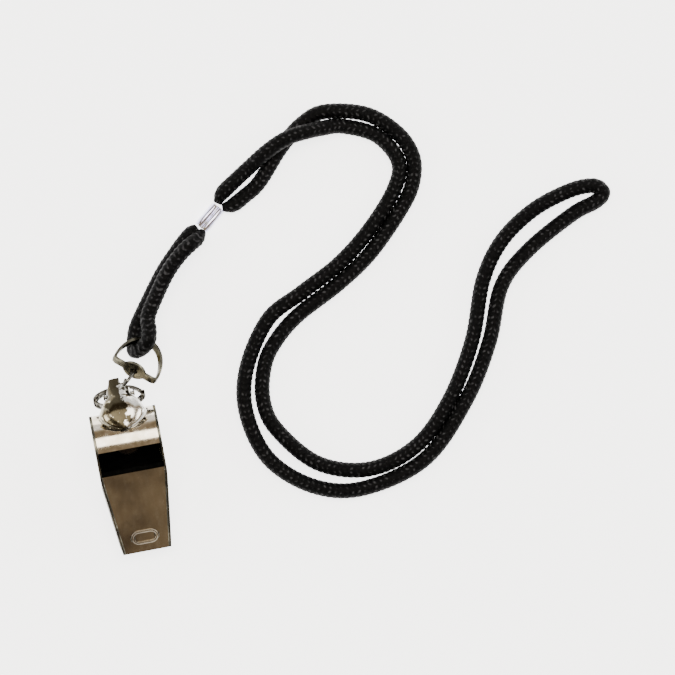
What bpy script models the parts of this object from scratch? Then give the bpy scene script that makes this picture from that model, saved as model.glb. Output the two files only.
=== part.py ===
"""Pea whistle on a clip and a looped neck lanyard, lying on a table.

Frame: +X across the whistle, +Y from the mouthpiece towards the barrel and the clip,
+Z up, the table at z = 0. Every size below is in millimetres and is scaled on use.
"""
import math

import bmesh
import bpy
from mathutils import Vector

MM = 0.001

# Whistle: local frame at the barrel's centre, top plate level, mouth towards -Y.
BARREL_CENTRE = (-2.8, 1.5, 10.0)
PITCH = math.radians(21.55)
BARREL_RADIUS = 10.0
SHEET = 0.6
SEAM = 0.25
CHEEK_X = 10.8
MOUTH_Y = -34.8
MOUTH_FLOOR_Z = 3.0
TOP_Z = 9.9
TOP_EDGE_Y = -6.8
BEND_TAPER = math.tan(math.radians(6.3))
BEND_START_Y = -8.0
BEND_SLOPE = 0.75
LIP_ANGLE = 81.0
THROAT_ANGLE = -165.0
THROAT_CORNER = (-10.5, 1.0)
THROAT_END = (-13.0, 1.2)
FLOOR_SHEET = 0.4
FLOOR_RADIUS = 9.2
PEA_RADIUS = 4.4
PEA_ORBIT = 4.3
BEAD_CENTRE_Y = -29.7
BEAD_LENGTH = 9.0
BEAD_WIDTH = 5.0
BEAD_WIRE = 0.55

# Bail on the barrel and the split ring through it.
BAIL_CENTRE = Vector((-2.8, 12.97, 15.69))
BAIL_ANGLE = math.radians(26.4)
BAIL_RADIUS = 2.2
BAIL_WIRE = 0.6
BAIL_FOOT = 10.3
RING_TILT = math.radians(69.0)
RING_RADIUS = 7.85
RING_RADIAL = 1.2
RING_AXIAL = 0.7
RING_PITCH = 0.85
RING_FIRST_TURN = 0.09
RING_CROSSOVER = 0.07
RING_SEAM_ANGLE = math.radians(130.0)

# Clip: frame at the jaw pin, its neck pointing down and back at 30 degrees.
PIN_CENTRE = Vector((-2.8, 16.6, 14.0))
CLIP_PITCH = math.radians(-30.0)
PIN_RADIUS = 0.55
PIN_REACH = 4.55
PIN_HOLE = 0.8
TAB_HOLE = (1.6, 4.0)
TAB_HOLE_RADIUS = 1.1
JAW_SHEET = 0.5
BASE_SHEET = 0.5
BASE_Z = -2.5

# Swivel eye: base centre, axis towards the apex.
EYE_BASE = Vector((3.5, 23.6, 12.5))
EYE_AXIS = Vector((0.528, 0.635, -0.5645)).normalized()
EYE_SIDE = Vector((0.77, -0.64, 0.0)).normalized()
EYE_HALF_WIDTH = 7.6
EYE_HEIGHT = 12.4
EYE_SHEET = 0.9
EYE_STRIP = 2.6
EYE_BOSS = 3.8
EYE_HOLE = 1.2

# Lanyard.
CORD_DIAMETER = 4.8
CORD_STEP = 10.5
FERRULE_START = Vector((33.35, 64.97, 2.3))
FERRULE_END = Vector((40.19, 70.69, 2.3))
FERRULE_WIDTH = 4.2
FERRULE_HEIGHT = 3.7

# Each route point: x, y, z and the cord's thickness there (1 = full).
CLIP_CORD_ROUTE = [
    (32.2, 65.4, 2.4, 0.42), (30.2, 64.3, 2.46, 0.66), (27.3, 61.9, 2.46, 1.0), (23.5, 58.3, 2.46, 1.0),
    (18.3, 52.8, 2.46, 1.0), (11.8, 44.2, 2.46, 1.0), (7.0, 37.3, 2.46, 1.0), (5.4, 33.0, 2.6, 1.0),
    (4.9, 29.8, 4.3, 1.0), (7.1, 30.0, 7.5, 1.0), (9.6, 32.0, 10.0, 1.0), (10.6, 35.2, 9.2, 1.0),
    (11.0, 39.4, 7.6, 1.0), (13.8, 44.2, 7.2, 1.0), (19.6, 52.3, 7.2, 1.0), (24.9, 57.5, 7.1, 1.0),
    (28.8, 60.2, 6.5, 1.0), (31.6, 61.8, 4.3, 0.66), (33.6, 63.8, 2.4, 0.42),
]
NECK_CORD_ROUTE = [
    (40.0, 71.9, 2.4, 0.42), (42.2, 74.9, 2.4, 0.75), (47.0, 78.2, 2.46, 1.0), (52.0, 81.4, 3.0, 1.0),
    (57.3, 84.7, 6.0, 1.0), (62.5, 87.3, 7.3, 1.0), (67.2, 88.8, 7.4, 1.0), (72.2, 89.4, 6.8, 1.0),
    (77.4, 89.7, 4.9, 1.0), (84.7, 89.3, 2.6, 1.0), (95.1, 84.3, 2.46, 1.0), (100.5, 74.8, 2.46, 1.0),
    (97.3, 65.9, 2.46, 1.0), (87.0, 54.6, 2.46, 1.0), (75.2, 45.5, 2.46, 1.0), (61.6, 38.5, 2.46, 1.0),
    (49.2, 31.8, 2.46, 1.0), (39.4, 17.1, 2.46, 1.0), (36.9, 2.6, 2.46, 1.0), (41.6, -13.1, 2.46, 1.0),
    (54.5, -24.3, 2.46, 1.0), (70.4, -27.7, 2.46, 1.0), (91.6, -21.9, 2.46, 1.0), (108.2, -5.5, 2.46, 1.0),
    (119.0, 11.6, 2.46, 1.0), (126.3, 28.8, 2.46, 1.0), (137.2, 38.8, 2.46, 1.0), (153.4, 47.6, 2.46, 1.0),
    (161.6, 50.3, 2.46, 1.0), (164.6, 52.8, 2.46, 1.0), (161.8, 55.6, 2.46, 1.0), (153.5, 55.3, 2.46, 1.0),
    (140.8, 51.2, 2.46, 1.0), (129.0, 43.2, 2.46, 1.0), (120.6, 31.6, 2.46, 1.0), (113.5, 13.0, 2.46, 1.0),
    (102.6, -4.7, 2.46, 1.0), (89.3, -17.3, 2.46, 1.0), (72.8, -21.9, 2.46, 1.0), (56.7, -16.9, 2.46, 1.0),
    (45.5, -3.6, 2.46, 1.0), (43.0, 6.5, 2.46, 1.0), (45.3, 16.9, 2.46, 1.0), (49.9, 23.9, 2.46, 1.0),
    (58.7, 31.2, 2.46, 1.0), (74.1, 39.2, 2.46, 1.0), (86.4, 47.4, 2.46, 1.0), (99.0, 60.0, 2.46, 1.0),
    (104.1, 67.8, 2.46, 1.0), (105.4, 75.8, 2.46, 1.0), (101.8, 84.1, 2.46, 1.0), (93.0, 91.8, 2.46, 1.0),
    (79.9, 95.0, 2.46, 1.0), (71.8, 92.5, 2.46, 1.0), (63.6, 86.0, 2.46, 1.0), (54.7, 76.3, 2.46, 1.0),
    (49.0, 72.6, 2.46, 1.0), (44.8, 70.5, 2.4, 0.75), (41.3, 70.3, 2.4, 0.42),
]

# Colour, roughness and metallic value of each finish.
NICKEL = ((0.50, 0.46, 0.38, 1.0), 0.16, 1.0)
DARK_NICKEL = ((0.30, 0.27, 0.22, 1.0), 0.30, 1.0)
STEEL = ((0.62, 0.61, 0.58, 1.0), 0.22, 1.0)
CORK = ((0.45, 0.28, 0.15, 1.0), 0.85, 0.0)
BLACK_CORD = ((0.012, 0.012, 0.013, 1.0), 0.75, 0.0)


def clear_scene():
    for item in list(bpy.data.objects):
        bpy.data.objects.remove(item, do_unlink=True)


def finish_material(name, finish):
    colour, roughness, metallic = finish
    material = bpy.data.materials.new(name + "_finish")
    material.use_nodes = True
    shader = material.node_tree.nodes["Principled BSDF"]
    shader.inputs["Base Color"].default_value = colour
    shader.inputs["Roughness"].default_value = roughness
    shader.inputs["Metallic"].default_value = metallic
    return material


def make_frame(name, centre, pitch=0.0):
    frame = bpy.data.objects.new(name, None)
    frame.location = Vector(centre) * MM
    frame.rotation_euler = (pitch, 0.0, 0.0)
    bpy.context.collection.objects.link(frame)
    return frame


def add_object(name, bm, finish, parent=None, smooth=True):
    """Turn a bmesh in millimetres into a named object, its faces turned outwards."""
    bmesh.ops.scale(bm, vec=(MM, MM, MM), verts=bm.verts)
    bmesh.ops.recalc_face_normals(bm, faces=bm.faces)
    mesh = bpy.data.meshes.new(name)
    bm.to_mesh(mesh)
    bm.free()
    if smooth:
        mesh.shade_smooth()
        mesh.set_sharp_from_angle(angle=math.radians(35.0))
    item = bpy.data.objects.new(name, mesh)
    bpy.context.collection.objects.link(item)
    item.parent = parent
    mesh.materials.append(finish_material(name, finish))
    return item


def loft(rings, closed=False):
    """Join rings of equal length, capping both ends unless the loft closes on itself."""
    bm = bmesh.new()
    rows = [[bm.verts.new(point) for point in ring] for ring in rings]
    sides = len(rows[0])
    last = len(rows) if closed else len(rows) - 1
    for index in range(last):
        near = rows[index]
        far = rows[(index + 1) % len(rows)]
        for side in range(sides):
            after = (side + 1) % sides
            bm.faces.new((near[side], near[after], far[after], far[side]))
    if not closed:
        bm.faces.new(rows[0])
        bm.faces.new(list(reversed(rows[-1])))
    return bm


def sweep(points, outline_at, side, closed=False):
    """Carry an outline along a path; outline_at(index) gives its (side, lift) points."""
    rings = []
    count = len(points)
    for index, point in enumerate(points):
        before = points[index - 1] if closed else points[max(index - 1, 0)]
        after = points[(index + 1) % count] if closed else points[min(index + 1, count - 1)]
        tangent = (after - before).normalized()
        side = (side - tangent * side.dot(tangent)).normalized()
        lift = tangent.cross(side)
        rings.append([point + side * u + lift * v for u, v in outline_at(index)])
    return loft(rings, closed)


def circle_outline(radius, sides):
    step = 2.0 * math.pi / sides
    return [(radius * math.cos(step * i), radius * math.sin(step * i)) for i in range(sides)]


def rectangle_outline(width, height):
    half_w = width / 2.0
    half_h = height / 2.0
    return [(half_w, half_h), (-half_w, half_h), (-half_w, -half_h), (half_w, -half_h)]


def smooth_path(points, steps_for):
    """Points of a Catmull-Rom curve; steps_for(length) says how many each span gets."""
    path = []
    last = len(points) - 1
    for index in range(last):
        p0 = points[max(index - 1, 0)]
        p1 = points[index]
        p2 = points[index + 1]
        p3 = points[min(index + 2, last)]
        span = math.dist(p1[:3], p2[:3])
        steps = max(1, steps_for(span))
        for step in range(steps):
            t = step / steps
            path.append(tuple(
                0.5 * (2.0 * b + (c - a) * t + (2.0 * a - 5.0 * b + 4.0 * c - d) * t ** 2
                       + (3.0 * b - a - 3.0 * c + d) * t ** 3)
                for a, b, c, d in zip(p0, p1, p2, p3)))
    path.append(tuple(points[-1]))
    return path


def polar(radius, degrees):
    angle = math.radians(degrees)
    return (radius * math.cos(angle), radius * math.sin(angle))


def arc(radius, start, end, steps):
    return [polar(radius, start + (end - start) * i / steps) for i in range(steps + 1)]


def offset_path(path, distance):
    """Move a (y, z) path sideways, to the left of its direction of travel."""
    moved = []
    for index, (y, z) in enumerate(path):
        before = path[max(index - 1, 0)]
        after = path[min(index + 1, len(path) - 1)]
        along_y = after[0] - before[0]
        along_z = after[1] - before[1]
        length = math.hypot(along_y, along_z)
        moved.append((y - along_z / length * distance, z + along_y / length * distance))
    return moved


def cylinder(radius, start, end, sides=32):
    axis = (end - start).normalized()
    side = axis.orthogonal().normalized()
    outline = circle_outline(radius, sides)
    return sweep([start, end], lambda index: outline, side)


def box(low, high):
    rings = []
    for z in (low[2], high[2]):
        rings.append([Vector((low[0], low[1], z)), Vector((high[0], low[1], z)),
                      Vector((high[0], high[1], z)), Vector((low[0], high[1], z))])
    return loft(rings)


def combine(item, form, operation):
    """Join or cut with a hidden form, which isn't itself a piece."""
    form.hide_render = True
    form.display_type = "WIRE"
    modifier = item.modifiers.new(form.name, "BOOLEAN")
    modifier.operation = operation
    modifier.solver = "EXACT"
    modifier.object = form


# ---- whistle -------------------------------------------------------------------------

def cheek_shift(y, z):
    """How far the cheeks have bent inwards at a place on them."""
    bend_y = BEND_START_Y - BEND_SLOPE * (TOP_Z - z)
    return BEND_TAPER * max(0.0, bend_y - y)


def inner_half_width(y, z):
    return CHEEK_X - SHEET - SEAM - cheek_shift(y, z)


def throat_curve(steps):
    start = polar(BARREL_RADIUS, THROAT_ANGLE)
    points = []
    for index in range(1, steps + 1):
        t = index / steps
        points.append(tuple((1.0 - t) ** 2 * a + 2.0 * t * (1.0 - t) * b + t ** 2 * c
                            for a, b, c in zip(start, THROAT_CORNER, THROAT_END)))
    return points


def mouth_run(steps):
    return [tuple(a + (b - a) * index / steps for a, b in zip(THROAT_END, (MOUTH_Y, MOUTH_FLOOR_Z)))
            for index in range(1, steps + 1)]


def make_cheek(name, hand, frame):
    """Side wall: flat beside the barrel, bent inwards beyond a slanted line."""
    top_angle = math.degrees(math.asin(TOP_Z / BARREL_RADIUS))
    outline = [(MOUTH_Y, TOP_Z)]
    outline += arc(BARREL_RADIUS, top_angle, THROAT_ANGLE, 56)
    outline += throat_curve(6) + [(MOUTH_Y, MOUTH_FLOOR_Z)]
    rings = [[Vector((x, y, z)) for y, z in outline] for x in (CHEEK_X, CHEEK_X - SHEET)]
    bm = loft(rings)
    bend_foot = Vector((0.0, BEND_START_Y, TOP_Z))
    bend_normal = Vector((0.0, -1.0, BEND_SLOPE)).normalized()
    bmesh.ops.bisect_plane(bm, geom=bm.verts[:] + bm.edges[:] + bm.faces[:], dist=1e-6,
                           plane_co=bend_foot, plane_no=bend_normal)
    for vert in bm.verts:
        vert.co.x = hand * (vert.co.x - cheek_shift(vert.co.y, vert.co.z))
    return add_object(name, bm, NICKEL, frame)


def make_strip(name, outer, inner, finish, frame):
    """Bent sheet that spans the two cheeks, from its outer and inner (y, z) paths."""
    rings = []
    for (outer_y, outer_z), (inner_y, inner_z) in zip(outer, inner):
        outer_x = inner_half_width(outer_y, outer_z)
        inner_x = inner_half_width(inner_y, inner_z)
        rings.append([Vector((outer_x, outer_y, outer_z)), Vector((-outer_x, outer_y, outer_z)),
                      Vector((-inner_x, inner_y, inner_z)), Vector((inner_x, inner_y, inner_z))])
    return add_object(name, loft(rings), finish, frame)


def make_barrel_band(frame):
    outer = arc(BARREL_RADIUS, LIP_ANGLE, THROAT_ANGLE, 60) + throat_curve(6) + mouth_run(4)
    inner = offset_path(outer, -SHEET)
    inner[0] = polar(BARREL_RADIUS - 0.15, LIP_ANGLE)
    return make_strip("barrel_band", outer, inner, NICKEL, frame)


def make_top_plate(frame):
    stops = [MOUTH_Y, -24.0, -15.0, BEND_START_Y, TOP_EDGE_Y]
    outer = [(y, TOP_Z) for y in stops]
    inner = [(y, TOP_Z - SHEET) for y in stops]
    plate = make_strip("top_plate", outer, inner, NICKEL, frame)
    half_straight = (BEAD_LENGTH - BEAD_WIDTH) / 2.0
    radius = BEAD_WIDTH / 2.0 - BEAD_WIRE
    path = []
    for hand in (1.0, -1.0):
        for step in range(9):
            angle = math.radians(hand * (90.0 - 22.5 * step))
            path.append(Vector((hand * (half_straight + radius * math.cos(angle)),
                                BEAD_CENTRE_Y + radius * math.sin(angle), TOP_Z)))
    wire = circle_outline(BEAD_WIRE, 10)
    bm = sweep(path, lambda index: wire, Vector((0.0, 0.0, 1.0)), closed=True)
    bead = add_object("bead_form", bm, NICKEL, frame)
    combine(plate, bead, "UNION")
    return plate


def make_windway_floor(frame):
    rise = [(-31.5, 4.1), (-23.5, 5.38), (-15.5, 6.66), (-8.0, 7.85)]
    middle = rise + arc(FLOOR_RADIUS, 138.0, 181.0, 12)
    outer = offset_path(middle, FLOOR_SHEET / 2.0)
    inner = offset_path(middle, -FLOOR_SHEET / 2.0)
    return make_strip("windway_floor", outer, inner, DARK_NICKEL, frame)


def make_pea():
    bm = bmesh.new()
    bmesh.ops.create_icosphere(bm, subdivisions=3, radius=PEA_RADIUS)
    low = Vector(BARREL_CENTRE) - Vector((0.0, 0.0, PEA_ORBIT))
    bmesh.ops.translate(bm, vec=low - Vector(BARREL_CENTRE), verts=bm.verts)
    orbit = make_frame("pea_orbit_frame", BARREL_CENTRE)
    return add_object("cork_pea", bm, CORK, orbit)


def make_bail_loop():
    out = Vector((0.0, math.cos(BAIL_ANGLE), math.sin(BAIL_ANGLE)))
    across = Vector((0.0, -math.sin(BAIL_ANGLE), math.cos(BAIL_ANGLE)))
    reach = (BAIL_CENTRE - Vector(BARREL_CENTRE)).length - BAIL_FOOT
    points = []
    for step in range(21):
        angle = math.radians(-112.0 + 224.0 * step / 20)
        points.append(out * math.cos(angle) * BAIL_RADIUS + across * math.sin(angle) * BAIL_RADIUS)
    foot_low = points[0].copy()
    foot_high = points[-1].copy()
    foot_low += out * (-reach - foot_low.dot(out))
    foot_high += out * (-reach - foot_high.dot(out))
    points = [foot_low] + points + [foot_high]
    wire = circle_outline(BAIL_WIRE, 14)
    bm = sweep(points, lambda index: wire, Vector((1.0, 0.0, 0.0)))
    return add_object("bail_loop", bm, STEEL, make_frame("bail_frame", BAIL_CENTRE))


def make_whistle():
    frame = make_frame("whistle_frame", BARREL_CENTRE, PITCH)
    make_cheek("right_cheek", 1.0, frame)
    make_cheek("left_cheek", -1.0, frame)
    make_barrel_band(frame)
    make_top_plate(frame)
    make_windway_floor(frame)
    make_pea()
    make_bail_loop()


# ---- split ring ----------------------------------------------------------------------

def make_split_ring():
    """Flat steel wound twice; it steps from one turn to the other between its two ends."""
    down = Vector((0.0, math.cos(RING_TILT), -math.sin(RING_TILT)))
    across = Vector((1.0, 0.0, 0.0))
    axis = across.cross(down)
    steps = 72
    points = []
    for step in range(steps + 1):
        turn = RING_FIRST_TURN + (2.0 - 2.0 * RING_FIRST_TURN) * step / steps
        angle = 2.0 * math.pi * turn + RING_SEAM_ANGLE
        side_step = max(-1.0, min(1.0, (turn - 1.0) / RING_CROSSOVER))
        lift = RING_PITCH / 2.0 * math.sin(side_step * math.pi / 2.0)
        middle = down * (1.0 - math.cos(angle)) + across * math.sin(angle)
        points.append(middle * RING_RADIUS + axis * lift)
    outline = rectangle_outline(RING_AXIAL, RING_RADIAL)
    bm = sweep(points, lambda index: outline, axis)
    return add_object("split_ring", bm, STEEL, make_frame("ring_frame", BAIL_CENTRE))


# ---- clip ----------------------------------------------------------------------------

def make_front_jaw(frame):
    """Fluted fan-shaped upper jaw with two ears for the pin and a narrow thumb lever."""
    # y, half width, rim height, crown height
    stations = [(4.9, 2.5, 1.9, 2.7), (3.2, 2.9, 1.8, 2.8), (1.5, 3.9, -1.1, 2.9), (0.9, 4.1, -1.3, 2.9),
                (0.0, 4.2, -1.3, 3.0), (-1.2, 4.5, -1.3, 3.1), (-2.1, 5.1, 0.2, 3.3),
                (-3.2, 5.8, 0.6, 3.6), (-4.8, 6.6, 0.5, 3.8), (-6.6, 7.5, 0.3, 3.7),
                (-8.0, 7.9, 0.2, 3.3), (-9.3, 7.2, 0.2, 2.7), (-10.6, 5.8, 0.2, 2.0),
                (-11.6, 4.0, 0.2, 1.4), (-12.3, 2.4, 0.2, 1.0), (-12.7, 1.1, 0.2, 0.7)]
    lever_stations = 2
    arc_steps = 24
    lever_reach = 14
    bm = bmesh.new()
    rows = []
    for number, (y, half, rim, crown) in enumerate(stations):
        row = []
        flute = 0.12 if -11.0 < y < -3.0 else 0.0
        for step in range(arc_steps + 1):
            if number < lever_stations and step > lever_reach:
                row.append(None)
                continue
            angle = math.pi * step / arc_steps
            x = -half * math.copysign(abs(math.cos(angle)) ** 0.8, math.cos(angle))
            z = rim + (crown - rim) * math.sin(angle) ** 0.8 + flute * math.cos(10.0 * angle)
            row.append(bm.verts.new((x, y, z)))
        rows.append(row)
    for near, far in zip(rows, rows[1:]):
        for step in range(arc_steps):
            corners = (near[step], near[step + 1], far[step + 1], far[step])
            if None not in corners:
                bm.faces.new(corners)
    jaw = add_object("front_jaw", bm, NICKEL, frame)
    shell = jaw.modifiers.new("sheet", "SOLIDIFY")
    shell.thickness = JAW_SHEET * MM
    shell.offset = -1.0
    shell.use_even_offset = True
    cut_pin_hole(jaw, "front_jaw_hole_form", frame)
    return jaw


def cut_pin_hole(item, name, frame):
    bm = cylinder(PIN_HOLE, Vector((-6.0, 0.0, 0.0)), Vector((6.0, 0.0, 0.0)), sides=20)
    combine(item, add_object(name, bm, STEEL, frame), "DIFFERENCE")


def make_rear_jaw(frame):
    """Clip body: a slotted plate with two ears for the pin and a hole in its tail tab."""
    outline = [(-2.4, -4.7), (-1.0, -4.7), (-1.0, -1.2), (1.0, -1.2), (1.0, -4.7), (2.4, -4.7),
               (2.6, 3.2), (2.9, 3.9), (2.7, 4.9), (2.0, 5.5), (1.2, 5.5), (-1.6, 5.3), (-2.4, 4.6)]
    rings = [[Vector((x, y, z)) for x, y in outline] for z in (BASE_Z, BASE_Z + BASE_SHEET)]
    plate = add_object("rear_jaw", loft(rings), STEEL, frame, smooth=False)
    for name, low_x in (("left_ear_form", -2.6), ("right_ear_form", 2.1)):
        ear = box((low_x, -1.3, BASE_Z + 0.1), (low_x + 0.5, 1.3, 1.2))
        combine(plate, add_object(name, ear, STEEL, frame, smooth=False), "UNION")
    cut_pin_hole(plate, "rear_jaw_hole_form", frame)
    hole = cylinder(TAB_HOLE_RADIUS, Vector((*TAB_HOLE, BASE_Z - 1.0)), Vector((*TAB_HOLE, BASE_Z + 1.5)), 24)
    combine(plate, add_object("tab_hole_form", hole, STEEL, frame), "DIFFERENCE")
    return plate


def make_jaw_pin(frame):
    """Rivet through both jaws, its two heads outside the front jaw."""
    head = [(0.0, PIN_RADIUS), (0.01, 1.0), (0.4, 0.9), (0.55, 0.55)]
    profile = [(-PIN_REACH - depth, radius) for depth, radius in reversed(head)]
    profile += [(PIN_REACH + depth, radius) for depth, radius in head]
    points = [Vector((x, 0.0, 0.0)) for x, radius in profile]
    bm = sweep(points, lambda index: circle_outline(profile[index][1], 20), Vector((0.0, 1.0, 0.0)))
    return add_object("jaw_pin", bm, STEEL, frame)


def make_jaw_spring(frame):
    """Two turns of wire round the pin, beside the bail, with one leg towards each tail."""
    points = [Vector((-1.8, 2.4, 0.2)), Vector((-1.8, 1.8, 0.6))]
    turns = 2
    per_turn = 16
    for step in range(turns * per_turn + 9):
        angle = 2.0 * math.pi * step / per_turn + math.radians(50.0)
        x = -1.8 + 0.8 * step / (turns * per_turn + 8)
        points.append(Vector((x, 1.25 * math.cos(angle), 1.25 * math.sin(angle))))
    points += [Vector((-1.0, 1.7, -1.3)), Vector((-1.0, 2.5, -1.6))]
    wire = circle_outline(0.19, 6)
    bm = sweep(points, lambda index: wire, Vector((1.0, 0.0, 0.0)))
    return add_object("jaw_spring", bm, STEEL, frame)


def make_clip():
    clip_frame = make_frame("clip_frame", PIN_CENTRE, CLIP_PITCH)
    make_front_jaw(clip_frame)
    make_rear_jaw(clip_frame)
    make_jaw_pin(clip_frame)
    make_jaw_spring(clip_frame)


# ---- swivel --------------------------------------------------------------------------

def make_swivel_eye():
    """D-shaped strip; its flat base widens to a boss that turns on the rivet."""
    normal = EYE_SIDE.cross(EYE_AXIS)
    if normal.z < 0.0:
        normal = -normal
    outline = []
    for step in range(29):
        angle = math.pi * step / 28
        outline.append((EYE_HALF_WIDTH * math.cos(angle), 1.2 + (EYE_HEIGHT - 1.2) * math.sin(angle)))
    outline += [(-7.35, 0.35), (-6.5, 0.0)]
    outline += [(-3.7 + 7.4 * step / 10, 0.0) for step in range(11)]
    outline += [(6.5, 0.0), (7.35, 0.35)]
    widths = []
    for side, height in outline:
        on_boss = height == 0.0 and abs(side) < EYE_BOSS
        boss = 2.0 * math.sqrt(EYE_BOSS ** 2 - side ** 2) if on_boss else 0.0
        widths.append(max(EYE_STRIP, boss))
    points = [EYE_SIDE * side + EYE_AXIS * height for side, height in outline]
    bm = sweep(points, lambda index: rectangle_outline(widths[index], EYE_SHEET), normal, closed=True)
    frame = make_frame("eye_frame", EYE_BASE)
    eye = add_object("swivel_eye", bm, STEEL, frame)
    hole = cylinder(EYE_HOLE, EYE_AXIS * -2.0, EYE_AXIS * 2.0, 24)
    combine(eye, add_object("eye_hole_form", hole, STEEL, frame), "DIFFERENCE")
    return eye


def make_swivel_stem():
    """Rivet head and shank of the swivel, drawn out into a hook through the clip's tab."""
    hook = [(1.96, 21.8, 14.25), (0.7, 20.6, 14.9), (-0.4, 19.7, 14.2), (-1.0, 19.1, 12.6),
            (-1.2, 18.9, 10.1), (-0.9, 19.3, 8.6), (-0.2, 20.3, 8.3), (0.3, 21.1, 9.2)]
    rivet = [(1.95, 0.7), (1.75, 1.5), (1.3, 1.9), (0.8, 1.9), (0.79, 0.9), (-0.9, 0.9), (-1.5, 0.75)]
    path = [(*(EYE_BASE + EYE_AXIS * along), radius) for along, radius in rivet]
    for point in smooth_path(hook, lambda span: 4):
        path.append((*point, 0.55))
    tab = Vector((-1.2, 18.94, 10.05))
    points = [Vector(point[:3]) - tab for point in path]
    bm = sweep(points, lambda index: circle_outline(path[index][3], 14), Vector((0.0, 0.3, 1.0)))
    return add_object("swivel_stem", bm, STEEL, make_frame("stem_frame", tab))


# ---- lanyard -------------------------------------------------------------------------

def make_cord(name, route):
    """A tube along one smooth curve through the route's own points."""
    path = smooth_path(route, lambda span: round(span / CORD_STEP))
    curve = bpy.data.curves.new(name, "CURVE")
    curve.dimensions = "3D"
    curve.bevel_depth = CORD_DIAMETER / 2.0 * MM
    curve.bevel_resolution = 3
    curve.use_fill_caps = True
    spline = curve.splines.new("POLY")
    spline.points.add(len(path) - 1)
    for point, (x, y, z, thickness) in zip(spline.points, path):
        point.co = (x * MM, y * MM, z * MM, 1.0)
        point.radius = thickness
    item = bpy.data.objects.new(name, curve)
    bpy.context.collection.objects.link(item)
    curve.materials.append(finish_material(name, BLACK_CORD))
    return item


def make_crimp_ferrule():
    """Pressed metal sleeve round both cords, with a groove along its top."""
    half_w = FERRULE_WIDTH / 2.0
    half_h = FERRULE_HEIGHT / 2.0
    outline = [(half_h, -0.9), (half_h - 0.45, 0.0), (half_h, 0.9), (half_h - 0.35, half_w - 0.35),
               (0.7, half_w), (-0.7, half_w), (0.35 - half_h, half_w - 0.35), (-half_h, 0.9),
               (-half_h, -0.9), (0.35 - half_h, 0.35 - half_w), (-0.7, -half_w), (0.7, -half_w),
               (half_h - 0.35, 0.35 - half_w)]
    along = (FERRULE_END - FERRULE_START).normalized()
    length = (FERRULE_END - FERRULE_START).length
    stops = [(0.0, 0.9), (0.25, 1.0), (length - 0.25, 1.0), (length, 0.9)]
    points = [FERRULE_START + along * stop for stop, scale in stops]

    def outline_at(index):
        scale = stops[index][1]
        return [(u * scale, v * scale) for u, v in outline]

    bm = sweep(points, outline_at, Vector((0.0, 0.0, 1.0)))
    return add_object("crimp_ferrule", bm, STEEL)


def make_lanyard():
    make_cord("clip_cord_loop", CLIP_CORD_ROUTE)
    make_crimp_ferrule()
    make_cord("neck_cord", NECK_CORD_ROUTE)


clear_scene()
make_whistle()
make_split_ring()
make_clip()
make_swivel_eye()
make_swivel_stem()
make_lanyard()
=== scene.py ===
"""Looks of the pea whistle, its clip and its braided lanyard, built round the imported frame."""
import math

import bmesh
import bpy
from mathutils import Matrix, Vector


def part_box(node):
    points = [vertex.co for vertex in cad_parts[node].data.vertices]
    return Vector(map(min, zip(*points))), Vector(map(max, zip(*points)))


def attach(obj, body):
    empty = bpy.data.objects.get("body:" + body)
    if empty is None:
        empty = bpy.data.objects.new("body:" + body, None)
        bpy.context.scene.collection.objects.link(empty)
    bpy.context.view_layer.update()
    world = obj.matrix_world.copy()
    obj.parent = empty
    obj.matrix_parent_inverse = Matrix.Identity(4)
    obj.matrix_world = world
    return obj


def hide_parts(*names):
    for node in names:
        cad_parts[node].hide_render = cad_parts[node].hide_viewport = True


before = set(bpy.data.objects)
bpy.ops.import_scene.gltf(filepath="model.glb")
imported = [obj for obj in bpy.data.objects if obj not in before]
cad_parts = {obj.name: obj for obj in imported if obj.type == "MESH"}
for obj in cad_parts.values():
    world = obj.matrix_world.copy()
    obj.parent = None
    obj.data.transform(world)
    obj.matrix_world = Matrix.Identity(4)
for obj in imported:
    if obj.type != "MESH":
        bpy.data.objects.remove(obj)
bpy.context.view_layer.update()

MM = 0.001

# Whistle and clip: the seam beside each strip, the barrel's radius, and the middle of the front jaw,
# where the jaw's painted dark reflection is centred.
SEAM_FILL = 0.25 * MM
BARREL_RADIUS = 10.0 * MM
JAW_MIDDLE_X = -3.2 * MM
JAW_HALF_SPAN = 10.0 * MM
SHARP_ANGLE = math.radians(35.0)

# Camera: long lens, almost straight above, rolled so that +Y leans left in the picture.
CAMERA_TARGET = Vector((70.66, 22.02, 0.0)) * MM
CAMERA_DISTANCE = 1.25
CAMERA_LEAN = math.radians(4.0)
CAMERA_ROLL = math.radians(10.5)
VIEW_WIDTH = 219.9 * MM
SENSOR = 36.0

# Studio: pale walls, a warm dim ceiling that the plated metal mirrors, a glowing white table.
WALL_COLOUR = (1.0, 1.0, 1.0)
EDGE_COLOUR = (0.36, 0.30, 0.22)
CEILING_COLOUR = (0.22, 0.17, 0.115)
WORLD_STRENGTH = 1.6
TABLE_GLOW = 3.2

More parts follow.
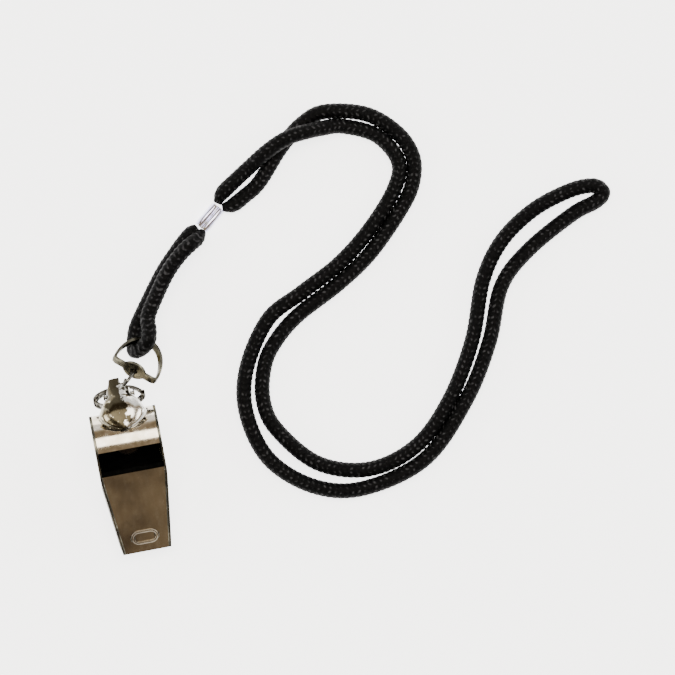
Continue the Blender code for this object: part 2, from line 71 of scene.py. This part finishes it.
# Lanyard, in metres. A route point is x, y, z, as in the part's source, and a thickness (1 = full),
# which stays fuller near the ferrule than the solid's does.
CORD_DIAMETER = 0.0048
CORD_RADIUS = CORD_DIAMETER / 2.0
BRAID_PITCH = 0.0019
BRAID_COLUMNS = 5
BRAID_RELIEF = 0.13
BRAID_CROWN = 1.06
BRAID_SLANT = 0.55
RING_STEP = 0.00030
RING_SIDES = 32
FERRULE_START = Vector((33.35, 64.97, 2.3)) * MM
FERRULE_END = Vector((40.19, 70.69, 2.3)) * MM
LOBE_OFFSET = 1.10 * MM
LOBE_HALF_WIDTH = 1.40 * MM
LOBE_HALF_HEIGHT = 1.85 * MM
LOBE_HALF_STEPS = 12
FERRULE_END_SCALE = 0.90
FERRULE_END_BEVEL = 0.3 * MM
CLIP_CORD_ROUTE = [
    (0.0322, 0.0654, 0.00240, 0.5), (0.0302, 0.0643, 0.00246, 0.92), (0.0273, 0.0619, 0.00246, 1.0),
    (0.0235, 0.0583, 0.00246, 1.0), (0.0183, 0.0528, 0.00246, 1.0), (0.0118, 0.0442, 0.00246, 1.0),
    (0.0070, 0.0373, 0.00246, 1.0), (0.0054, 0.0330, 0.00260, 1.0), (0.0049, 0.0298, 0.00430, 1.0),
    (0.0071, 0.0300, 0.00750, 1.0), (0.0096, 0.0320, 0.01000, 1.0), (0.0106, 0.0352, 0.00920, 1.0),
    (0.0110, 0.0394, 0.00760, 1.0), (0.0138, 0.0442, 0.00720, 1.0), (0.0196, 0.0523, 0.00720, 1.0),
    (0.0249, 0.0575, 0.00710, 1.0), (0.0288, 0.0602, 0.00650, 1.0), (0.0316, 0.0618, 0.00430, 0.92),
    (0.0336, 0.0638, 0.00240, 0.5),
]
NECK_CORD_ROUTE = [
    (0.0400, 0.0719, 0.00240, 0.5), (0.0422, 0.0749, 0.00240, 0.97), (0.0470, 0.0782, 0.00246, 1.0),
    (0.0520, 0.0814, 0.00300, 1.0), (0.0573, 0.0847, 0.00600, 1.0), (0.0625, 0.0873, 0.00730, 1.0),
    (0.0672, 0.0888, 0.00740, 1.0), (0.0722, 0.0894, 0.00680, 1.0), (0.0774, 0.0897, 0.00490, 1.0),
    (0.0847, 0.0893, 0.00260, 1.0), (0.0951, 0.0843, 0.00246, 1.0), (0.1005, 0.0748, 0.00246, 1.0),
    (0.0973, 0.0659, 0.00246, 1.0), (0.0870, 0.0546, 0.00246, 1.0), (0.0752, 0.0455, 0.00246, 1.0),
    (0.0616, 0.0385, 0.00246, 1.0), (0.0492, 0.0318, 0.00246, 1.0), (0.0394, 0.0171, 0.00246, 1.0),
    (0.0369, 0.0026, 0.00246, 1.0), (0.0416, -0.0131, 0.00246, 1.0), (0.0545, -0.0243, 0.00246, 1.0),
    (0.0704, -0.0277, 0.00246, 1.0), (0.0916, -0.0219, 0.00246, 1.0), (0.1082, -0.0055, 0.00246, 1.0),
    (0.1190, 0.0116, 0.00246, 1.0), (0.1263, 0.0288, 0.00246, 1.0), (0.1372, 0.0388, 0.00246, 1.0),
    (0.1534, 0.0476, 0.00246, 1.0), (0.1616, 0.0503, 0.00246, 1.0), (0.1646, 0.0528, 0.00246, 1.0),
    (0.1618, 0.0556, 0.00246, 1.0), (0.1535, 0.0553, 0.00246, 1.0), (0.1408, 0.0512, 0.00246, 1.0),
    (0.1290, 0.0432, 0.00246, 1.0), (0.1206, 0.0316, 0.00246, 1.0), (0.1135, 0.0130, 0.00246, 1.0),
    (0.1026, -0.0047, 0.00246, 1.0), (0.0893, -0.0173, 0.00246, 1.0), (0.0728, -0.0219, 0.00246, 1.0),
    (0.0567, -0.0169, 0.00246, 1.0), (0.0455, -0.0036, 0.00246, 1.0), (0.0430, 0.0065, 0.00246, 1.0),
    (0.0453, 0.0169, 0.00246, 1.0), (0.0499, 0.0239, 0.00246, 1.0), (0.0587, 0.0312, 0.00246, 1.0),
    (0.0741, 0.0392, 0.00246, 1.0), (0.0864, 0.0474, 0.00246, 1.0), (0.0990, 0.0600, 0.00246, 1.0),
    (0.1041, 0.0678, 0.00246, 1.0), (0.1054, 0.0758, 0.00246, 1.0), (0.1018, 0.0841, 0.00246, 1.0),
    (0.0930, 0.0918, 0.00246, 1.0), (0.0799, 0.0950, 0.00246, 1.0), (0.0718, 0.0925, 0.00246, 1.0),
    (0.0636, 0.0860, 0.00246, 1.0), (0.0547, 0.0763, 0.00246, 1.0), (0.0490, 0.0726, 0.00246, 1.0),
    (0.0448, 0.0705, 0.00240, 0.97), (0.0413, 0.0703, 0.00240, 0.5),
]


# ---- shared helpers ------------------------------------------------------------------

def smooth_path(points, steps_for):
    """Points of a Catmull-Rom curve; steps_for(length) says how many each span gets."""
    path = []
    last = len(points) - 1
    for index in range(last):
        p0 = points[max(index - 1, 0)]
        p1 = points[index]
        p2 = points[index + 1]
        p3 = points[min(index + 2, last)]
        steps = max(1, steps_for(math.dist(p1[:3], p2[:3])))
        for step in range(steps):
            t = step / steps
            path.append(tuple(
                0.5 * (2.0 * b + (c - a) * t + (2.0 * a - 5.0 * b + 4.0 * c - d) * t ** 2
                       + (3.0 * b - a - 3.0 * c + d) * t ** 3)
                for a, b, c, d in zip(p0, p1, p2, p3)))
    path.append(tuple(points[-1]))
    return path


def add_mesh(name, bm, material, smooth_angle=None):
    bmesh.ops.recalc_face_normals(bm, faces=bm.faces)
    mesh = bpy.data.meshes.new(name)
    bm.to_mesh(mesh)
    bm.free()
    mesh.shade_smooth()
    if smooth_angle is not None:
        mesh.set_sharp_from_angle(angle=math.radians(smooth_angle))
    item = bpy.data.objects.new(name, mesh)
    bpy.context.scene.collection.objects.link(item)
    mesh.materials.append(material)
    return item


def loft(rings):
    """Skin over rings of points, closed by a flat cap at each end."""
    bm = bmesh.new()
    rows = [[bm.verts.new(point) for point in ring] for ring in rings]
    sides = len(rows[0])
    for near, far in zip(rows, rows[1:]):
        for side in range(sides):
            after = (side + 1) % sides
            bm.faces.new((near[side], near[after], far[after], far[side]))
    bm.faces.new(rows[0])
    bm.faces.new(list(reversed(rows[-1])))
    return bm


# ---- materials -----------------------------------------------------------------------

class NodeTree:
    """Shorthand for a material's node tree."""

    def __init__(self, name):
        self.material = bpy.data.materials.new(name)
        self.material.use_nodes = True
        self.nodes = self.material.node_tree.nodes
        self.links = self.material.node_tree.links
        self.shader = self.nodes["Principled BSDF"]
        self.place = self.nodes.new("ShaderNodeTexCoord").outputs["Object"]

    def link(self, source, target):
        self.links.new(source, target)

    def noise(self, scale, detail=3.0, roughness=0.5, stretch=None):
        node = self.nodes.new("ShaderNodeTexNoise")
        node.inputs["Scale"].default_value = scale
        node.inputs["Detail"].default_value = detail
        node.inputs["Roughness"].default_value = roughness
        place = self.place
        if stretch is not None:
            mapping = self.nodes.new("ShaderNodeMapping")
            mapping.inputs["Scale"].default_value = stretch
            self.link(place, mapping.inputs["Vector"])
            place = mapping.outputs["Vector"]
        self.link(place, node.inputs["Vector"])
        return node.outputs["Fac"]

    def ramp(self, value, stops):
        node = self.nodes.new("ShaderNodeValToRGB")
        elements = node.color_ramp.elements
        while len(elements) < len(stops):
            elements.new(0.5)
        for element, (position, colour) in zip(elements, stops):
            element.position = position
            element.color = (*colour, 1.0)
        self.link(value, node.inputs["Fac"])
        return node.outputs["Color"]

    def remap(self, value, low, high, from_low=0.3, from_high=0.7):
        node = self.nodes.new("ShaderNodeMapRange")
        node.inputs["From Min"].default_value = from_low
        node.inputs["From Max"].default_value = from_high
        node.inputs["To Min"].default_value = low
        node.inputs["To Max"].default_value = high
        self.link(value, node.inputs["Value"])
        return node.outputs["Result"]

    def maths(self, operation, first, second):
        node = self.nodes.new("ShaderNodeMath")
        node.operation = operation
        self.link(first, node.inputs[0])
        self.link(second, node.inputs[1])
        return node.outputs["Value"]

    def colour(self, value, stops):
        self.link(self.ramp(value, stops), self.shader.inputs["Base Color"])

    def bump(self, value, strength, distance):
        node = self.nodes.new("ShaderNodeBump")
        node.inputs["Strength"].default_value = strength
        node.inputs["Distance"].default_value = distance
        self.link(value, node.inputs["Height"])
        self.link(node.outputs["Normal"], self.shader.inputs["Normal"])


def plated_metal(name, dark, mid, light, roughness, blotch_scale=90.0, rim_tint=1.0):
    """Plate over pressed sheet: soft tarnish, polishing marks and fine pits."""
    tree = NodeTree(name)
    tree.colour(tree.noise(blotch_scale, 4.0, 0.55), [(0.32, dark), (0.52, mid), (0.70, light)])
    marks = tree.noise(900.0, 2.0, 0.5, stretch=(1.0, 0.12, 0.5))
    tree.link(tree.remap(marks, roughness * 0.8, roughness * 1.35), tree.shader.inputs["Roughness"])
    tree.shader.inputs["Metallic"].default_value = 1.0
    tree.shader.inputs["Specular Tint"].default_value = (rim_tint, rim_tint, rim_tint, 1.0)
    tree.bump(tree.noise(2600.0, 2.0, 0.6), 0.10, 0.00002)
    return tree.material


def painted_inside_shade():
    """Near-black matt sheet inside the whistle: painted shade standing in for the dark inside of the
    body.
    """
    tree = NodeTree("inside_painted_shade")
    # Painted shade: near-black tones for the inside of the whistle, where little light reaches.
    shade_stops = [(0.35, (0.0012, 0.0012, 0.0012)), (0.70, (0.0040, 0.0038, 0.0036))]
    tree.colour(tree.noise(500.0, 3.0, 0.6), shade_stops)
    tree.shader.inputs["Roughness"].default_value = 0.9
    tree.shader.inputs["Specular IOR Level"].default_value = 0.0
    return tree.material


def cork_in_painted_shade():
    """Cork grain, painted near black: painted shade for the pea inside the whistle's dark chamber."""
    tree = NodeTree("cork_grain_painted_shade")
    grain = tree.noise(900.0, 5.0, 0.7)
    # Painted shade: the cork's own tan is darkened to near black because the pea lies in the dark
    # chamber.
    tree.colour(grain, [(0.35, (0.010, 0.006, 0.004)), (0.55, (0.030, 0.018, 0.010)),
                        (0.75, (0.060, 0.036, 0.020))])
    tree.shader.inputs["Roughness"].default_value = 0.9
    tree.bump(grain, 0.5, 0.0002)
    return tree.material


def jaw_painted_reflection():
    """Plated jaw with light painted across it: painted highlights on the bent flanks and a painted dark
    reflection down the middle, with a ragged border.
    """
    tree = NodeTree("jaw_nickel")
    split = tree.nodes.new("ShaderNodeSeparateXYZ")
    tree.link(tree.place, split.inputs["Vector"])
    ragged = tree.remap(tree.noise(330.0, 3.0, 0.6), -0.003, 0.003)
    wander = tree.maths("ADD", split.outputs["X"], ragged)
    across = tree.remap(wander, 0.0, 1.0, JAW_MIDDLE_X - JAW_HALF_SPAN, JAW_MIDDLE_X + JAW_HALF_SPAN)
    # Painted light: a pale flank on one side, a painted dark reflection down the middle and a bright
    # painted highlight on the other flank.
    tree.colour(across, [(0.27, (0.34, 0.31, 0.23)), (0.31, (0.055, 0.046, 0.028)),
                         (0.60, (0.040, 0.033, 0.020)), (0.65, (0.62, 0.60, 0.55))])
    tree.link(tree.remap(tree.noise(900.0, 2.0, 0.5), 0.14, 0.26), tree.shader.inputs["Roughness"])
    tree.shader.inputs["Metallic"].default_value = 1.0
    tree.bump(tree.noise(420.0, 2.0, 0.5), 0.35, 0.00010)
    return tree.material


def cord_material():
    """Black polyester with fine filaments; painted highlights grey the crowns where each yarn comes up,
    and painted shade darkens the grooves between them.
    """
    tree = NodeTree("braided_polyester")
    fibre = tree.noise(5200.0, 3.0, 0.65)
    crown = tree.nodes.new("ShaderNodeAttribute")
    crown.attribute_name = "crown"
    glint_variation = tree.remap(tree.noise(700.0, 2.0, 0.5), 0.62, 1.12)
    shade = tree.maths("MULTIPLY", crown.outputs["Fac"], glint_variation)
    # Painted highlight on the yarn crowns, made irregular by noise; the grooves stay a little darker as
    # painted shade.
    tree.colour(shade, [(0.0, (0.0006, 0.0006, 0.0007)), (0.74, (0.0016, 0.0016, 0.0017)),
                        (1.0, (0.034, 0.034, 0.036))])
    tree.link(tree.remap(tree.noise(2400.0, 2.0, 0.5), 0.45, 0.70), tree.shader.inputs["Roughness"])
    tree.shader.inputs["Specular IOR Level"].default_value = 0.05
    tree.bump(fibre, 0.35, 0.00006)
    return tree.material


def floor_material():
    tree = NodeTree("white_table")
    tree.colour(tree.noise(40.0, 2.0, 0.5), [(0.3, (0.93, 0.93, 0.93)), (0.7, (0.96, 0.96, 0.96))])
    tree.shader.inputs["Roughness"].default_value = 0.8
    tree.shader.inputs["Emission Color"].default_value = (1.0, 1.0, 1.0, 1.0)
    tree.shader.inputs["Emission Strength"].default_value = TABLE_GLOW
    return tree.material


# ---- lanyard -------------------------------------------------------------------------

def triangle_wave(value):
    """Triangle wave between 0 and 1, once per unit."""
    return abs(2.0 * (value - math.floor(value + 0.5)))


def braid_height(turn, along):
    """Relief of the braid, 0 to 1: rows of slanted yarns that meet in V shapes."""
    column = turn * BRAID_COLUMNS
    yarn = abs(math.sin(math.pi * (along / BRAID_PITCH + BRAID_SLANT * triangle_wave(column))))
    meeting = min(triangle_wave(column), 1.0 - triangle_wave(column))
    return yarn ** 0.6 * (0.55 + 0.45 * min(1.0, meeting * 6.0))


def make_cord(name, node, route, material):
    """Braided tube along a route; no point of it goes below the table."""
    path = smooth_path(route, lambda span: max(1, round(span / RING_STEP)))
    points = [Vector(point[:3]) for point in path]
    side = Vector((0.0, 0.0, 1.0))
    along = 0.0
    rings = []
    heights = []
    for index, point in enumerate(points):
        if index:
            along += (point - points[index - 1]).length
        tangent = (points[min(index + 1, len(points) - 1)] - points[max(index - 1, 0)]).normalized()
        side = (side - tangent * side.dot(tangent)).normalized()
        lift = tangent.cross(side)
        ring = []
        for step in range(RING_SIDES):
            turn = step / RING_SIDES
            height = braid_height(turn, along)
            radius = CORD_RADIUS * path[index][3] * (BRAID_CROWN - BRAID_RELIEF * (1.0 - height))
            angle = 2.0 * math.pi * turn
            place = point + (side * math.cos(angle) + lift * math.sin(angle)) * radius
            place.z = max(place.z, 0.0)
            ring.append(place)
            heights.append(height)
        rings.append(ring)
    item = add_mesh(name, loft(rings), material)
    # The braid's height goes to the crown attribute, where the cord material paints highlights on the
    # crowns and shade in the grooves.
    crowns = item.data.attributes.new("crown", "FLOAT", "POINT")
    crowns.data.foreach_set("value", heights)
    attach(item, "lanyard")
    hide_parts(node)


def make_ferrule(material):
    """Crimped sleeve: two round lobes, one for each cord, with a groove between them."""
    along = (FERRULE_END - FERRULE_START).normalized()
    across = along.cross(Vector((0.0, 0.0, 1.0))).normalized()
    length = (FERRULE_END - FERRULE_START).length
    meeting = math.acos(-LOBE_OFFSET / LOBE_HALF_WIDTH)
    lobe = []
    for step in range(2 * LOBE_HALF_STEPS + 1):
        angle = meeting * (1.0 - step / LOBE_HALF_STEPS)
        lobe.append((LOBE_OFFSET + LOBE_HALF_WIDTH * math.cos(angle), LOBE_HALF_HEIGHT * math.sin(angle)))
    outline = lobe + [(-u, -v) for u, v in lobe[1:-1]]
    rings = []
    stops = [(0.0, FERRULE_END_SCALE), (FERRULE_END_BEVEL, 1.0),
             (length - FERRULE_END_BEVEL, 1.0), (length, FERRULE_END_SCALE)]
    for stop, scale in stops:
        centre = FERRULE_START + along * stop
        rings.append([centre + across * (u * scale) + Vector((0.0, 0.0, v * scale)) for u, v in outline])
    item = add_mesh("ferrule_sleeve", loft(rings), material, 50.0)
    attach(item, "lanyard")
    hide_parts("crimp_ferrule")


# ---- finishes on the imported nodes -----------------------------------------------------

def place_key(point):
    return (round(point.x, 6), round(point.y, 6), round(point.z, 6))


def smooth_normals(mesh, limit):
    """Shade across every edge that bends by less than the limit; no vertex moves."""
    around = {}
    for face in mesh.polygons:
        for index in face.vertices:
            around.setdefault(place_key(mesh.vertices[index].co), []).append(face)
    cosine = math.cos(limit)
    normals = []
    for face in mesh.polygons:
        own = face.normal.copy()
        for index in face.vertices:
            total = Vector((0.0, 0.0, 0.0))
            for other in around[place_key(mesh.vertices[index].co)]:
                if own.dot(other.normal) > cosine:
                    total += other.normal * other.area
            normals.append((total if total.length > 0.0 else own).normalized())
    mesh.shade_smooth()
    mesh.normals_split_custom_set(normals)


def dress(node, material):
    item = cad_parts[node]
    item.data.materials.clear()
    item.data.materials.append(material)
    smooth_normals(item.data, SHARP_ANGLE)
    return item


def solder_sides(node, material):
    """Solder that fills the seam between a strip's side edges and the cheeks."""
    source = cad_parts[node]
    bm = bmesh.new()
    for face in source.data.polygons:
        if abs(face.normal.x) < 0.9:
            continue
        shift = Vector((math.copysign(SEAM_FILL, face.normal.x), 0.0, 0.0))
        near = [source.data.vertices[index].co for index in face.vertices]
        low = [bm.verts.new(point) for point in near]
        high = [bm.verts.new(point + shift) for point in near]
        bm.faces.new(low[::-1])
        bm.faces.new(high)
        for index in range(len(near)):
            after = (index + 1) % len(near)
            bm.faces.new((low[index], low[after], high[after], high[index]))
    item = add_mesh(node + "_solder", bm, material)
    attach(item, "whistle")


def second_finish(item, material, chosen):
    """Give the faces that the test picks a second material slot."""
    slot = len(item.data.materials)
    item.data.materials.append(material)
    for face in item.data.polygons:
        if chosen(face):
            face.material_index = slot


def looks_at_axis(face):
    """True for a face of the barrel or its plates that looks towards the chamber."""
    toward = Vector((0.0, BARREL_AXIS[0] - face.center.y, BARREL_AXIS[1] - face.center.z))
    return face.normal.dot(toward) > 0.0 and abs(face.normal.x) < 0.9


def is_rim(face):
    """True for the cut edge of a cheek, where the sheet shows its thickness."""
    return abs(face.normal.x) < 0.5


# ---- camera, floor and light ---------------------------------------------------------

def make_camera():
    away = Vector((-math.sin(CAMERA_LEAN), 0.0, math.cos(CAMERA_LEAN)))
    flat = Vector((math.cos(CAMERA_LEAN), 0.0, math.sin(CAMERA_LEAN)))
    back = Vector((0.0, 1.0, 0.0))
    right = flat * math.cos(CAMERA_ROLL) - back * math.sin(CAMERA_ROLL)
    up = flat * math.sin(CAMERA_ROLL) + back * math.cos(CAMERA_ROLL)
    data = bpy.data.cameras.new("photo_camera")
    data.sensor_width = SENSOR
    data.lens = SENSOR * CAMERA_DISTANCE / VIEW_WIDTH
    data.clip_start = 0.01
    data.clip_end = 20.0
    camera = bpy.data.objects.new("photo_camera", data)
    turn = Matrix((right, up, away)).transposed().to_4x4()
    camera.matrix_world = Matrix.Translation(CAMERA_TARGET + away * CAMERA_DISTANCE) @ turn
    bpy.context.scene.collection.objects.link(camera)
    bpy.context.scene.camera = camera


def make_floor():
    bm = bmesh.new()
    bmesh.ops.create_grid(bm, x_segments=1, y_segments=1, size=3.0)
    floor = add_mesh("table", bm, floor_material())
    floor.location.z = -0.0001


def add_area_light(name, place, aim, size, power, colour=(1.0, 1.0, 1.0)):
    data = bpy.data.lights.new(name, "AREA")
    data.shape = "RECTANGLE"
    data.size, data.size_y = size
    data.energy = power
    data.color = colour
    light = bpy.data.objects.new(name, data)
    place = Vector(place)
    light.location = place
    light.rotation_euler = (Vector(aim) - place).to_track_quat("-Z", "Y").to_euler()
    bpy.context.scene.collection.objects.link(light)


def make_world():
    """White studio walls under a dim, warm ceiling."""
    world = bpy.data.worlds.new("studio")
    world.use_nodes = True
    nodes = world.node_tree.nodes
    links = world.node_tree.links
    direction = nodes.new("ShaderNodeTexCoord").outputs["Generated"]
    split = nodes.new("ShaderNodeSeparateXYZ")
    links.new(direction, split.inputs["Vector"])
    ramp = nodes.new("ShaderNodeValToRGB")
    stops = [(0.0, WALL_COLOUR), (0.42, WALL_COLOUR), (0.50, EDGE_COLOUR), (0.62, CEILING_COLOUR)]
    elements = ramp.color_ramp.elements
    while len(elements) < len(stops):
        elements.new(0.5)
    for element, (position, colour) in zip(elements, stops):
        element.position = position
        element.color = (*colour, 1.0)
    links.new(split.outputs["Z"], ramp.inputs["Fac"])
    background = nodes["Background"]
    links.new(ramp.outputs["Color"], background.inputs["Color"])
    background.inputs["Strength"].default_value = WORLD_STRENGTH
    bpy.context.scene.world = world


def make_lights():
    make_world()
    add_area_light("overhead_softbox", (0.0, 0.40, 1.65), (0.0, 0.03, 0.0), (1.6, 0.97), 34.0,
                   (1.0, 0.96, 0.88))
    add_area_light("left_softbox", (-1.1, 0.1, 0.5), (0.05, 0.02, 0.0), (0.5, 0.6), 5.0)
    add_area_light("right_softbox", (1.1, 0.2, 0.5), (0.05, 0.02, 0.0), (0.5, 0.6), 5.0)


# ---- build ---------------------------------------------------------------------------

CORD_MATERIAL = cord_material()
make_camera()
make_cord("clip_cord_braid", "clip_cord_loop", CLIP_CORD_ROUTE, CORD_MATERIAL)
make_cord("neck_cord_braid", "neck_cord", NECK_CORD_ROUTE, CORD_MATERIAL)


# Each plated metal: its dark, middle and light shade, roughness, blotch scale and grazing tint.
PLATE = plated_metal("warm_nickel", (0.19, 0.16, 0.125), (0.36, 0.31, 0.235), (0.44, 0.38, 0.29),
                     0.17, 60.0)
CHEEK = plated_metal("cheek_nickel", (0.14, 0.13, 0.11), (0.26, 0.25, 0.21), (0.44, 0.42, 0.36),
                     0.30, 90.0, 0.10)
EDGE = plated_metal("cut_edge", (0.035, 0.034, 0.028), (0.085, 0.082, 0.066), (0.20, 0.185, 0.14),
                    0.30, 240.0, 0.2)
# The barrel's nickel is lighter than the same plating on the plate and cheeks: a painted highlight for
# the bright back of the barrel, over random tarnish blotches.
BAND = plated_metal("barrel_nickel", (0.46, 0.41, 0.31), (0.60, 0.54, 0.44), (0.80, 0.76, 0.67),
                    0.13, 260.0)
# The near-black inside material: painted shade for every surface inside the whistle.
INSIDE_SHADE = painted_inside_shade()
WIRE = plated_metal("drawn_steel", (0.05, 0.048, 0.040), (0.13, 0.125, 0.110), (0.42, 0.41, 0.37),
                    0.18, 520.0, 0.5)
RING = plated_metal("ring_steel", (0.018, 0.017, 0.015), (0.055, 0.052, 0.046), (0.30, 0.29, 0.26),
                    0.16, 620.0, 0.3)
REAR_JAW = plated_metal("rear_jaw_nickel", (0.08, 0.07, 0.045), (0.22, 0.20, 0.14), (0.52, 0.48, 0.38),
                        0.18, 150.0)
# The front jaw, with its painted highlights and painted dark reflection.
JAW = jaw_painted_reflection()
EYE = plated_metal("eye_strip", (0.045, 0.042, 0.032), (0.12, 0.112, 0.085), (0.34, 0.31, 0.22),
                   0.22, 300.0, 0.3)
CHROME = plated_metal("ferrule_chrome", (0.50, 0.49, 0.48), (0.68, 0.67, 0.92), (0.86, 0.86, 0.85),
                      0.10, 300.0)
# Cork grain, darkened as painted shade for the pea inside the chamber.
CORK = cork_in_painted_shade()

# The windway floor gets the near-black painted inside shade.
for node_name, node_material in (
        ("windway_floor", INSIDE_SHADE), ("cork_pea", CORK), ("bail_loop", WIRE), ("split_ring", RING),
        ("front_jaw", JAW), ("rear_jaw", REAR_JAW), ("jaw_pin", WIRE), ("jaw_spring", WIRE),
        ("swivel_eye", EYE), ("swivel_stem", WIRE)):
    dress(node_name, node_material)

# The barrel rests on the table, so its axis is one radius above it and inside its back.
BARREL_AXIS = (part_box("barrel_band")[1].y - BARREL_RADIUS, BARREL_RADIUS)


make_ferrule(CHROME)
solder_sides("top_plate", EDGE)
solder_sides("barrel_band", EDGE)
# The windway floor's solder also gets the near-black painted inside shade.
solder_sides("windway_floor", INSIDE_SHADE)
LEFT_CHEEK = dress("left_cheek", CHEEK)
RIGHT_CHEEK = dress("right_cheek", CHEEK)
BARREL = dress("barrel_band", BAND)
TOP = dress("top_plate", PLATE)
# Painted shade: the cheeks' inner faces, the barrel's inside and the top plate's underside get the
# near-black inside material; the cheeks' rims get the cut-edge finish.
second_finish(LEFT_CHEEK, INSIDE_SHADE, lambda face: face.normal.x > 0.5)
second_finish(RIGHT_CHEEK, INSIDE_SHADE, lambda face: face.normal.x < -0.5)
second_finish(LEFT_CHEEK, EDGE, is_rim)
second_finish(RIGHT_CHEEK, EDGE, is_rim)
second_finish(BARREL, INSIDE_SHADE, looks_at_axis)
second_finish(TOP, INSIDE_SHADE, lambda face: face.normal.z < -0.3)

make_floor()
make_lights()
